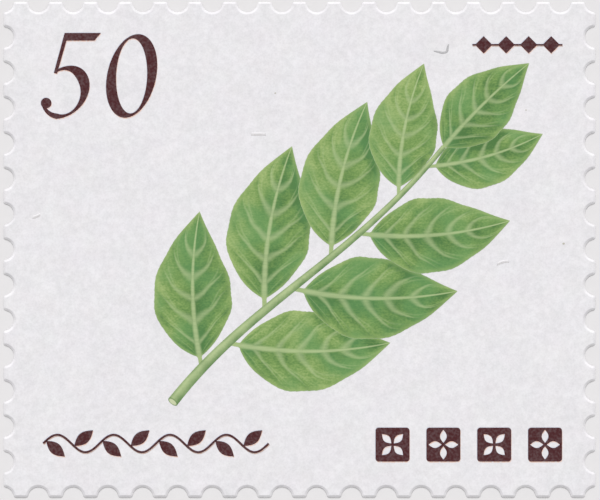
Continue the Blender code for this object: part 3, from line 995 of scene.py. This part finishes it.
def strip_mesh(name, rows, bottom, carried, uvs=None):
    """A flat film from rows of points across it, closed below, with named values carried on its points."""
    shape = bmesh.new()
    layers = {label: shape.verts.layers.float.new(label) for label in carried}
    uv_layer = shape.loops.layers.uv.new("leaf_uv") if uvs else None
    uv_of = {}

    def point(i, j, height):
        vertex = shape.verts.new((rows[i][j].x, rows[i][j].y, height))
        for label, layer in layers.items():
            vertex[layer] = carried[label][i][j]
        uv_of[vertex] = uvs[i][j] if uvs else None
        return vertex

    last = len(rows[0]) - 1
    tops = [[point(i, j, bottom + FILM) for j in range(last + 1)] for i in range(len(rows))]
    lows = [[point(i, j, bottom) for j in (0, last)] for i in range(len(rows))]
    for i in range(len(rows) - 1):
        here, after = tops[i], tops[i + 1]
        for j in range(last):
            shape.faces.new((here[j], after[j], after[j + 1], here[j + 1]))
        shape.faces.new((lows[i][0], lows[i][1], lows[i + 1][1], lows[i + 1][0]))
        shape.faces.new((lows[i][0], lows[i + 1][0], after[0], here[0]))
        shape.faces.new((here[-1], after[-1], lows[i + 1][1], lows[i][1]))
    for i in (0, len(rows) - 1):
        shape.faces.new((*tops[i], lows[i][1], lows[i][0]))
    if uvs:
        for face in shape.faces:
            for corner in face.loops:
                corner[uv_layer].uv = uv_of[corner.vert]
    return face_outwards(mesh_from(shape, name))


def leaf_pattern(bend):
    """A leaf one metre long from the origin along X, its rib bent, for the sprig's tree to set out."""
    rows, uvs = [], []
    carried = {"from_rib": [], "from_edge": []}
    across_steps = [j / LEAF_STEPS_ACROSS for j in range(-LEAF_STEPS_ACROSS, LEAF_STEPS_ACROSS + 1)]
    for i in range(LEAF_STEPS + 1):
        along = i / LEAF_STEPS
        half = half_leaf_width(along)
        turned = bend * along
        rib = Vector((math.sin(turned), 1 - math.cos(turned))) / bend
        sideways = unit(turned).orthogonal()
        rows.append([rib + sideways * across * half for across in across_steps])
        carried["from_rib"].append([abs(across) * half for across in across_steps])
        carried["from_edge"].append([(1 - abs(across)) * half for across in across_steps])
        uvs.append([(along, 0.5 + 0.5 * across) for across in across_steps])
    return strip_mesh("leaf_pattern", rows, 0.0, carried, uvs)


def leaves_set_out(node, given):
    """Sets out the sprig's leaves on its points, each turned and sized by what the point carries."""
    heading, length, kind = [
        node("GeometryNodeInputNamedAttribute", name, data_type=data_type)
        for name, data_type in (("leaf_heading", "FLOAT"), ("leaf_length", "FLOAT"), ("leaf_kind", "INT"))
    ]
    return node(
        INSTANCES, given["Geometry"],
        Instance=node(COLLECTION, given["Leaf Patterns"], True, True), Pick_Instance=True,
        Instance_Index=kind, Rotation=node(TO_ROTATION, node(XYZ, None, None, heading)),
        Scale=node(XYZ, length, length, 1.0),
    )


def leaf_points(sprig):
    """The places of the leaves up the stem in turn, with the tip's own leaf last and topmost."""
    rise = (sprig.last_leaf_at - sprig.first_leaf_at) / max(1, sprig.leaves_a_side - 1)
    rows = []
    for pair in range(sprig.leaves_a_side):
        for kind, side, lag in ((0, 1, 0.0), (1, -1, sprig.far_side_lag)):
            at = min(sprig.first_leaf_at + rise * pair + lag, LAST_ROOT)
            angle = LOW_LEAF_ANGLE + (HIGH_LEAF_ANGLE - LOW_LEAF_ANGLE) * at
            length = LOWEST_LEAF_LENGTH + LENGTH_GAINED * at - LENGTH_LOST * at**2
            rows.append((stem_point(at), stem_heading(at) + side * angle, length, kind))
    rows.append((stem_point(TIP_LEAF_ROOT), stem_heading(1), TIP_LEAF_LENGTH, 2))
    places, headings, lengths, kinds = zip(*rows)
    points = bpy.data.meshes.new("leaf_points")
    points.from_pydata(
        [(place.x, place.y, LEAF_LEVEL + LEAF_LEVEL_STEP * i) for i, place in enumerate(places)], [], []
    )
    seeds = [(i * LEAF_SEED_STEP + LEAF_SEED_START) % 1 for i in range(len(rows))]
    for name, kind, values in (
        ("leaf_heading", "FLOAT", headings), ("leaf_length", "FLOAT", lengths),
        ("leaf_kind", "INT", kinds), ("leaf_seed", "FLOAT", seeds),
    ):
        points.attributes.new(name, kind, "POINT").data.foreach_set("value", values)
    return points


def mark_seams(mesh):
    """Gives each point of the leaves its distance, seen from above, to the nearest leaf over its own."""
    seeds = [value.value for value in mesh.attributes["leaf_seed"].data]
    flat = [Vector((v.co.x, v.co.y, 0)) for v in mesh.vertices]
    heights = {seed: min(v.co.z for v in mesh.vertices if seeds[v.index] == seed) for seed in set(seeds)}
    leaves = sorted(heights, key=heights.get)
    covers = {
        leaf: BVHTree.FromPolygons(
            flat, [tuple(f.vertices) for f in mesh.polygons if seeds[f.vertices[0]] == leaf]
        )
        for leaf in leaves
    }
    seams = mesh.attributes.new("from_seam", "FLOAT", "POINT").data
    for vertex in mesh.vertices:
        over = leaves[leaves.index(seeds[vertex.index]) + 1 :]
        found = [covers[leaf].find_nearest(flat[vertex.index], 2 * SEAM_REACH)[3] for leaf in over]
        seams[vertex.index].value = min([d for d in found if d is not None], default=2 * SEAM_REACH)


def stem_mesh(level):
    """The stem's film with its rounded foot, carrying how far across it a point lies and how far from the
    cut's middle, in the cut's own reach."""
    rows, across, from_foot = [], [], []
    shares = (-1.0, -0.5, 0.0, 0.5, 1.0)
    for i in range(-STEM_CUT_STEPS, STEM_STEPS + 1):
        at = max(0, i) / STEM_STEPS
        back = math.sin(math.pi / 2 * max(0, -i) / STEM_CUT_STEPS)
        narrowed = math.sqrt(1 - back**2)
        ahead = unit(stem_heading(at))
        half = (STEM_WIDTH_AT_FOOT + (STEM_WIDTH_AT_TIP - STEM_WIDTH_AT_FOOT) * at) / 2
        half *= narrowed
        middle = stem_point(at) - ahead * back * STEM_CUT_REACH
        rows.append([middle + ahead.orthogonal() * half * share for share in shares])
        across.append([share * narrowed for share in shares])
        from_foot.append([(middle - STEM_FOOT).length / STEM_CUT_REACH] * len(shares))
    return strip_mesh("sprig_stem", rows, level, {"across": across, "from_foot": from_foot})


def numeral_place(left, across, up):
    """A place in a numeral's own box, 0 to 1 each way, leant over and put on the face."""
    height = up * NUMERAL_HEIGHT
    return Vector((left + across * NUMERAL_WIDTH + height * NUMERAL_SLANT, NUMERAL_BASE + height))


def numeral_oval(left, middle, reach, angles, lean=0.0):
    """Places round an oval in a numeral's own box."""
    places = []
    for angle in angles:
        across = middle[0] + reach[0] * math.cos(angle) - lean * math.sin(angle)
        places.append(numeral_place(left, across, middle[1] + reach[1] * math.sin(angle)))
    return places


def five_strokes():
    """The bowl, flag, stem and ball of a numeral five."""
    flag = [numeral_place(FIVE_LEFT, *corner) for corner in FLAG_CORNERS]
    stem = [numeral_place(FIVE_LEFT, *end) for end in STEM_ENDS]
    turns = [BOWL_FROM + (BOWL_TO - BOWL_FROM) * i / PEN_STEPS for i in range(PEN_STEPS + 1)]
    bowl = numeral_oval(FIVE_LEFT, BOWL_MIDDLE, BOWL_REACH, [math.radians(turn) for turn in turns])
    widths = [min(w, PEN_TAPER * (1 - i / PEN_STEPS) + PEN_THIN) for i, w in enumerate(pen_widths(bowl))]
    ball = ring(bowl[-1] + BALL_LIFT, BALL_RADIUS, BALL_POINTS)
    return [ribbon(bowl, widths), flag, ribbon(stem, STEM_WIDTHS), ball]


def zero_loops():
    """The outline and the opening of a numeral zero. The opening leans less, which thickens two sides."""
    angles = [math.pi * i / PEN_STEPS for i in range(2 * PEN_STEPS)]
    return [
        numeral_oval(ZERO_LEFT, RING_MIDDLE, reach, angles, lean)
        for reach, lean in ((RING_REACH, 0.0), (OPENING_REACH, OPENING_LEAN))
    ]


def wave_place(node, given, share, level=None):
    """A place on the vine's waved line, from 0 at its left end to 1 at its right."""
    x = node(TIMES_PLUS, share, given["Length"], given["Left"])
    turns = node(TIMES, share, given["Waves"])
    swing = node(SINE, node(TIMES, turns, 2 * math.pi))
    return node(XYZ, x, node(TIMES_PLUS, swing, given["Rise"], given["Middle"]), level)


def swept_film(node, path, width, level):
    """A flat film of even width along a path, its underside at a level."""
    section = node("GeometryNodeCurvePrimitiveQuadrilateral", width, FILM)
    film = node(SWEPT, node(LAID_FLAT, path), section, Fill_Caps=True)
    return node(MOVED, film, node(XYZ, None, None, node(PLUS, level, FILM / 2)))


def waved_vine(node, given):
    """A waved line with a small leaf at each half wave, above and below in turn."""
    index = node(INDEX)
    place = wave_place(node, given, node(OVER, index, VINE_STEPS))
    waved = node(PLACED, node(ROW, VINE_STEPS + 1), Position=place)
    line = swept_film(node, node(TO_CURVE, waved), given["Line Width"], given["Level"])
    half_waves = node(TIMES, given["Waves"], 2.0)
    leaf_share = node(OVER, node(PLUS, index, given["Leaf Shift"]), half_waves)
    leaf_place = wave_place(node, given, leaf_share, given["Leaf Level"])
    stations = node(PLACED, node(ROW, half_waves), Position=leaf_place)
    side = node(TIMES_PLUS, node(REMAINDER, index, 2.0), 2.0, -1.0)
    turn = node(XYZ, None, None, node(TIMES, side, given["Leaf Angle"]))
    leaf = node(OBJECT, given["Leaf Pattern"], out="Geometry")
    leaves = node(INSTANCES, stations, Instance=leaf, Rotation=node(TO_ROTATION, turn))
    return node(JOINED, [line, leaves])


def row_of_tiles(node, given):
    """A row of tiles, of two patterns in turn."""
    row = node(ROW, given["Tiles"], given["First Middle"], node(XYZ, given["Pitch"]))
    patterns = node(COLLECTION, given["Tile Patterns"], True, True)
    odd = node(REMAINDER, node(INDEX), 2.0)
    return node(INSTANCES, row, Instance=patterns, Pick_Instance=True, Instance_Index=odd)


def beaded_rule(node, given):
    """A thin straight rule with diamond beads set evenly along it."""
    left, middle = given["Left"], given["Middle"]
    right = node(PLUS, left, given["Length"])
    path = node(LINE, node(XYZ, left, middle), node(XYZ, right, middle))
    line = swept_film(node, path, given["Line Width"], given["Level"])
    pitch = node(OVER, given["Length"], given["Beads"])
    first = node(XYZ, node(TIMES_PLUS, pitch, 0.5, left), middle, given["Bead Level"])
    row = node(ROW, given["Beads"], first, node(XYZ, pitch))
    bead = node(OBJECT, given["Bead Pattern"], out="Geometry")
    return node(JOINED, [line, node(INSTANCES, row, Instance=bead)])


def tile_pattern(number):
    """A small square with a four-petalled flower left open in it, as a film about the origin."""
    half = TILE_SIZE / 2 - TILE_CORNER
    flower_turn = 0.0 if number % 2 else math.pi / 4
    square, petals = [], []
    for quarter in range(4):
        angle = quarter * math.pi / 2
        corner = half * math.sqrt(2) * unit(angle + math.pi / 4)
        square += arc(corner, TILE_CORNER, angle, angle + math.pi / 2, TILE_CORNER_STEPS)
        heading = flower_turn + angle
        petals.append(
            almond(TILE_PETAL_START * unit(heading), heading, TILE_PETAL_LENGTH, TILE_PETAL_WIDTH)
        )
    return film_mesh(f"tile_{number}", [square, *petals], 0.0)


def strewn_fibres(node, given):
    """Short bent fibres strewn flat over the face with a fixed seed, most of them barely showing."""
    field = node("GeometryNodeMeshGrid", given["Width"], given["Height"])
    spots = node(
        "GeometryNodeDistributePointsOnFaces", field,
        Density=given["Fibres a Square Metre"], Seed=given["Seed"],
    )
    bend = node(ARC, FIBRE_STEPS, given["Bend Radius"], FIBRE_START, FIBRE_TURN)
    section = node("GeometryNodeCurvePrimitiveCircle", FIBRE_SIDES, given["Fibre Radius"])
    middle = unit(FIBRE_START + FIBRE_TURN / 2)
    to_origin = node(XYZ, *[node(TIMES, given["Bend Radius"], -part) for part in middle])
    fibre = node(MOVED, node(SWEPT, bend, section, Fill_Caps=True), to_origin)
    turn = node(RANDOM, 0.0, 2 * math.pi, Seed=given["Seed"])
    size = node(RANDOM, FIBRE_SMALLEST, FIBRE_LARGEST, Seed=FIBRE_SIZE_SEED)
    strewn = node(
        INSTANCES, spots, Instance=fibre, Scale=node(XYZ, size, size, 1.0),
        Rotation=node(TO_ROTATION, node(XYZ, None, None, turn)),
    )
    return node(MOVED, strewn, node(XYZ, None, None, given["Level"]))


def thread(pixels, half_width_mm, rise=1.0):
    """A thread pressed nearly flat in the face along a path of pixels, thinning to its two ends."""
    half_width = half_width_mm * MM
    drawn = curve_object(
        "thread", "NURBS", [[face_place(pixel) for pixel in pixels]], dimensions="3D",
        bevel_depth=half_width, bevel_resolution=3, resolution_u=6, use_fill_caps=True,
    )
    spline = drawn.data.splines[0]
    spline.use_endpoint_u = True
    spline.order_u = 3
    for end in (spline.points[0], spline.points[-1]):
        end.radius = THREAD_END
    mesh = plain_mesh(drawn, "thread")
    discard(drawn)
    squash = rise * (INK_HIGH.z - PAPER_HIGH.z) / half_width
    for vertex in mesh.vertices:
        vertex.co.z = PAPER_HIGH.z + vertex.co.z * squash
    return mesh


def speck(pixel_x, pixel_y, radius_mm):
    """A low round grain on the face."""
    place = face_place((pixel_x, pixel_y))
    reach = (radius_mm * MM, SPECK_DEPTH_SHARE * radius_mm * MM, SPECK_HEIGHT)
    shape = bmesh.new()
    bmesh.ops.create_icosphere(shape, subdivisions=2, radius=1.0)
    bmesh.ops.scale(shape, verts=shape.verts, vec=reach)
    bmesh.ops.translate(shape, verts=shape.verts, vec=(place.x, place.y, INK_LOW.z + SPECK_LIFT))
    return mesh_from(shape, "speck")


def floor_mesh():
    """A wide round floor just under the stamp, turned up softly at its far edge so that no horizon shows."""
    shape = bmesh.new()
    rings = []
    for i in range(FLOOR_RINGS + 1):
        turned = FLOOR_TURN_ANGLE * i / FLOOR_RINGS
        radius = FLOOR_FLAT + FLOOR_TURN * math.sin(turned)
        height = FLOOR_TURN * (1 - math.cos(turned)) - FLOOR_GAP
        angles = [2 * math.pi * j / FLOOR_SIDES for j in range(FLOOR_SIDES)]
        rings.append([shape.verts.new((radius * math.cos(a), radius * math.sin(a), height)) for a in angles])
    shape.faces.new(rings[0])
    for inner, outer in zip(rings, rings[1:]):
        for j in range(FLOOR_SIDES):
            k = (j + 1) % FLOOR_SIDES
            shape.faces.new((inner[j], outer[j], outer[k], inner[k]))
    for face in shape.faces:
        face.smooth = True
    return mesh_from(shape, "floor")


class STAMP_OT_die_cut_paper(bpy.types.Operator):
    """Builds the face paper with its toothed edge and crushed rim"""

    bl_idname = "stamp.die_cut_paper"
    bl_label = "Die-Cut Paper"

    def execute(self, context):
        scene = context.scene
        die = scene.stamp_die
        paper = die_cut_layer(
            "die_cut_paper", PAPER_LOW.z, PAPER_HIGH.z, 0.0, die.rim_width, die.rim_drop,
            stamp_paper(scene.stamp_colours),
        )
        settle(paper, "paper", "face_paper")
        return {"FINISHED"}


class STAMP_OT_adhesive_coat(bpy.types.Operator):
    """Builds the adhesive layer on the stamp's back"""

    bl_idname = "stamp.adhesive_coat"
    bl_label = "Adhesive Coat"

    def execute(self, context):
        scene = context.scene
        coat = die_cut_layer(
            "adhesive_coat", ADHESIVE_LOW.z, ADHESIVE_HIGH.z, scene.stamp_die.adhesive_inset,
            ADHESIVE_RIM_WIDTH, ADHESIVE_RIM_DROP, acrylic_adhesive(scene.stamp_colours),
        )
        settle(coat, "adhesive", "adhesive_layer")
        return {"FINISHED"}


class STAMP_OT_printed_sprig(bpy.types.Operator):
    """Builds the printed stem and its leaves"""

    bl_idname = "stamp.printed_sprig"
    bl_label = "Printed Sprig"

    def execute(self, context):
        colours, sprig = context.scene.stamp_colours, context.scene.stamp_sprig
        bends = (-LEAF_BEND, LEAF_BEND, -LEAF_BEND / 2)
        patterns = pattern_collection("leaf_patterns", [leaf_pattern(bend) for bend in bends])
        leaves = piece_from_tree(
            "sprig_leaves", leaves_set_out, leaf_ink(colours), {"Leaf Patterns": patterns},
            source=leaf_points(sprig),
        )
        discard(patterns)
        mark_seams(leaves.data)
        settle(leaves, "green_ink", "printed_sprig")
        count = 2 * sprig.leaves_a_side + 1
        stem = new_piece("sprig_stem", stem_mesh(LEAF_LEVEL + LEAF_LEVEL_STEP * count), stem_ink(colours))
        settle(stem, "green_ink", "printed_sprig")
        return {"FINISHED"}


class STAMP_OT_printed_numerals(bpy.types.Operator):
    """Builds the two numerals of the value"""

    bl_idname = "stamp.printed_numerals"
    bl_label = "Printed Numerals"

    def execute(self, context):
        ink = brown_ink(context.scene.stamp_colours)
        five = fused_film("numeral_five", five_strokes(), BROWN_LEVEL, ink)
        settle(five, "brown_ink", "printed_numeral_five")
        zero = new_piece("numeral_zero", film_mesh("numeral_zero", zero_loops(), BROWN_LEVEL), ink)
        settle(zero, "brown_ink", "printed_numeral_zero")
        return {"FINISHED"}


class STAMP_OT_printed_ornaments(bpy.types.Operator):
    """Builds the vine, the row of tiles and the beaded rule"""

    bl_idname = "stamp.printed_ornaments"
    bl_label = "Printed Ornaments"

    def execute(self, context):
        ink = brown_ink(context.scene.stamp_colours)
        origin = Vector((0, 0))
        leaf_loop = almond(origin, 0.0, VINE_LEAF_LENGTH, VINE_LEAF_WIDTH)
        small_leaf = new_piece("small_leaf", film_mesh("small_leaf", [leaf_loop], 0.0))
        vine = piece_from_tree("printed_vine_line", waved_vine, ink, {**VINE, "Leaf Pattern": small_leaf})
        settle(vine, "brown_ink", "printed_vine")
        patterns = pattern_collection("tile_patterns", [tile_pattern(number) for number in range(2)])
        tiles = piece_from_tree("flower_tiles", row_of_tiles, ink, {**TILE_ROW, "Tile Patterns": patterns})
        settle(tiles, "brown_ink", *[f"printed_tile_{number + 1}" for number in range(TILES)])
        diamond_loop = ring(origin, RULE_BEAD_SIZE / 2, 4)
        diamond = new_piece("diamond", film_mesh("diamond", [diamond_loop], 0.0))
        rule = piece_from_tree("beaded_rule_line", beaded_rule, ink, {**RULE, "Bead Pattern": diamond})
        settle(rule, "brown_ink", "printed_beaded_rule")
        discard(small_leaf, diamond, patterns)
        return {"FINISHED"}


class STAMP_OT_register_fringes(bpy.types.Operator):
    """Lays a warm and a cool tint under the brown print, each moved by the hair that its plate is out"""

    bl_idname = "stamp.register_fringes"
    bl_label = "Register Fringes"

    def execute(self, context):
        colours = context.scene.stamp_colours
        brown = [
            piece.data for piece in bpy.data.objects
            if piece.get("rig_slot") == "brown_ink" and "fringe" not in piece.name
        ]
        for name, shift in (("warm_fringe", WARM_FRINGE_SHIFT), ("cool_fringe", COOL_FRINGE_SHIFT)):
            ink = fringe_ink(f"offset_ink_{name}", getattr(colours, name), colours.paper)
            settle(new_piece(name, joined_mesh(name, brown, shift), ink), "brown_ink")
        return {"FINISHED"}


class STAMP_OT_paper_fibres(bpy.types.Operator):
    """Strews fine fibres over the paper's face"""

    bl_idname = "stamp.paper_fibres"
    bl_label = "Paper Fibres"

    def execute(self, context):
        settle(piece_from_tree("paper_fibres", strewn_fibres, bleached_fibres(), FIBRES), "paper")
        return {"FINISHED"}


class STAMP_OT_pressed_marks(bpy.types.Operator):
    """Presses the photograph's few stray marks into the face: a hair, raised lint with its painted shadow,
    and specks of dust
    """

    bl_idname = "stamp.pressed_marks"
    bl_label = "Pressed Marks"

    def execute(self, context):
        # Painted shadow: each lint's path moved a little towards the stamp's bottom edge, for a grey thread
        # under it.
        shaded = [[(x, y + LINT_SHADE) for x, y in pixels] for pixels in LINT_PIXELS]
        for name, meshes, material in (
            (
                "pressed_hair", [thread(HAIR_PIXELS, HAIR_HALF_WIDTH)],
                mark_material("hair_grey", 0xB1B0B2, 0xCFCED0, 0.12 * MM),
            ),
            (
                "lint_underside", [thread(p, LINT_SHADE_HALF_WIDTH, LINT_SHADE_RISE) for p in shaded],
                mark_material("lint_shaded", 0xC8C5C6, 0xE0DDDE, 0.10 * MM),
            ),
            ("raised_lint", [thread(p, LINT_HALF_WIDTH) for p in LINT_PIXELS], bleached_fibres()),
            (
                "dust_specks", [speck(*place) for place in SPECKS],
                mark_material("dust_olive_grey", 0xAEAA9A, 0xD6D3C8, 0.05 * MM),
            ),
        ):
            settle(new_piece(name, face_outwards(joined_mesh(name, meshes)), material), "paper")
        return {"FINISHED"}


class STAMP_OT_studio_stage(bpy.types.Operator):
    """Sets the floor, the lights and the camera"""

    bl_idname = "stamp.studio_stage"
    bl_label = "Studio Stage"

    def execute(self, context):
        scene = context.scene
        stage = scene.stamp_stage
        floor = new_piece("floor", floor_mesh(), studio_floor(stage))
        world = bpy.data.worlds.new("soft_fill")
        world.use_nodes = True
        background = world.node_tree.nodes["Background"]
        background.inputs["Color"].default_value = (1, 1, 1, 1)
        background.inputs["Strength"].default_value = stage.fill
        scene.world = world
        lamp = bpy.data.lights.new("key", "SUN")
        lamp.angle = KEY_WIDTH
        lamp.energy = stage.key_strength
        key = new_piece("key", lamp)
        toward = Vector((0.0, math.cos(KEY_HEIGHT), math.sin(KEY_HEIGHT)))
        key.location = toward * KEY_DISTANCE
        key.rotation_euler = toward.to_track_quat("Z", "Y").to_euler()
        aim = face_place((PHOTO_WIDTH / 2, PHOTO_HEIGHT / 2))
        lens = bpy.data.cameras.new("lens")
        lens.sensor_width = SENSOR_WIDTH
        lens.lens = stage.lens
        lens.clip_start = NEAREST_SEEN
        camera = new_piece("camera", lens)
        distance = PHOTO_WIDTH * MM_A_PIXEL * stage.lens / SENSOR_WIDTH
        camera.location = (aim.x, aim.y, PAPER_HIGH.z + distance)
        scene.camera = camera
        scene.view_settings.view_transform = "Standard"
        return {"FINISHED"}


class STAMP_PT_panel(bpy.types.Panel):
    """The stamp's sizes, colours and pieces"""

    bl_idname = "STAMP_PT_panel"
    bl_label = "Postage Stamp"
    bl_space_type = "VIEW_3D"
    bl_region_type = "UI"
    bl_category = "Postage Stamp"

    def draw(self, context):
        for group_name in GROUPS:
            group = getattr(context.scene, group_name)
            box = self.layout.box()
            for setting in group.bl_rna.properties:
                if not setting.is_readonly and setting.identifier != "name":
                    box.prop(group, setting.identifier)
        for operator in OPERATORS:
            self.layout.operator(operator.bl_idname)


GROUPS = {
    "stamp_die": StampDie,
    "stamp_sprig": SprigPrint,
    "stamp_colours": StampColours,
    "stamp_stage": StampStage,
}
OPERATORS = (
    STAMP_OT_die_cut_paper,
    STAMP_OT_adhesive_coat,
    STAMP_OT_printed_sprig,
    STAMP_OT_printed_numerals,
    STAMP_OT_printed_ornaments,
    STAMP_OT_register_fringes,
    STAMP_OT_paper_fibres,
    STAMP_OT_pressed_marks,
    STAMP_OT_studio_stage,
)


def register():
    """Registers the setting groups, the operators and the panel."""
    for group_name, group in GROUPS.items():
        bpy.utils.register_class(group)
        setattr(bpy.types.Scene, group_name, PointerProperty(type=group))
    for operator in OPERATORS:
        bpy.utils.register_class(operator)
    bpy.utils.register_class(STAMP_PT_panel)


def unregister():
    """Takes all of them away again, in reverse."""
    bpy.utils.unregister_class(STAMP_PT_panel)
    for operator in reversed(OPERATORS):
        bpy.utils.unregister_class(operator)
    for group_name, group in reversed(GROUPS.items()):
        delattr(bpy.types.Scene, group_name)
        bpy.utils.unregister_class(group)


def main():
    """Builds every piece and the stage in order."""
    register()
    bpy.ops.stamp.die_cut_paper()
    bpy.ops.stamp.adhesive_coat()
    bpy.ops.stamp.printed_sprig()
    bpy.ops.stamp.printed_numerals()
    bpy.ops.stamp.printed_ornaments()
    bpy.ops.stamp.register_fringes()
    bpy.ops.stamp.paper_fibres()
    bpy.ops.stamp.pressed_marks()
    bpy.ops.stamp.studio_stage()


if __name__ == "__main__":
    main()
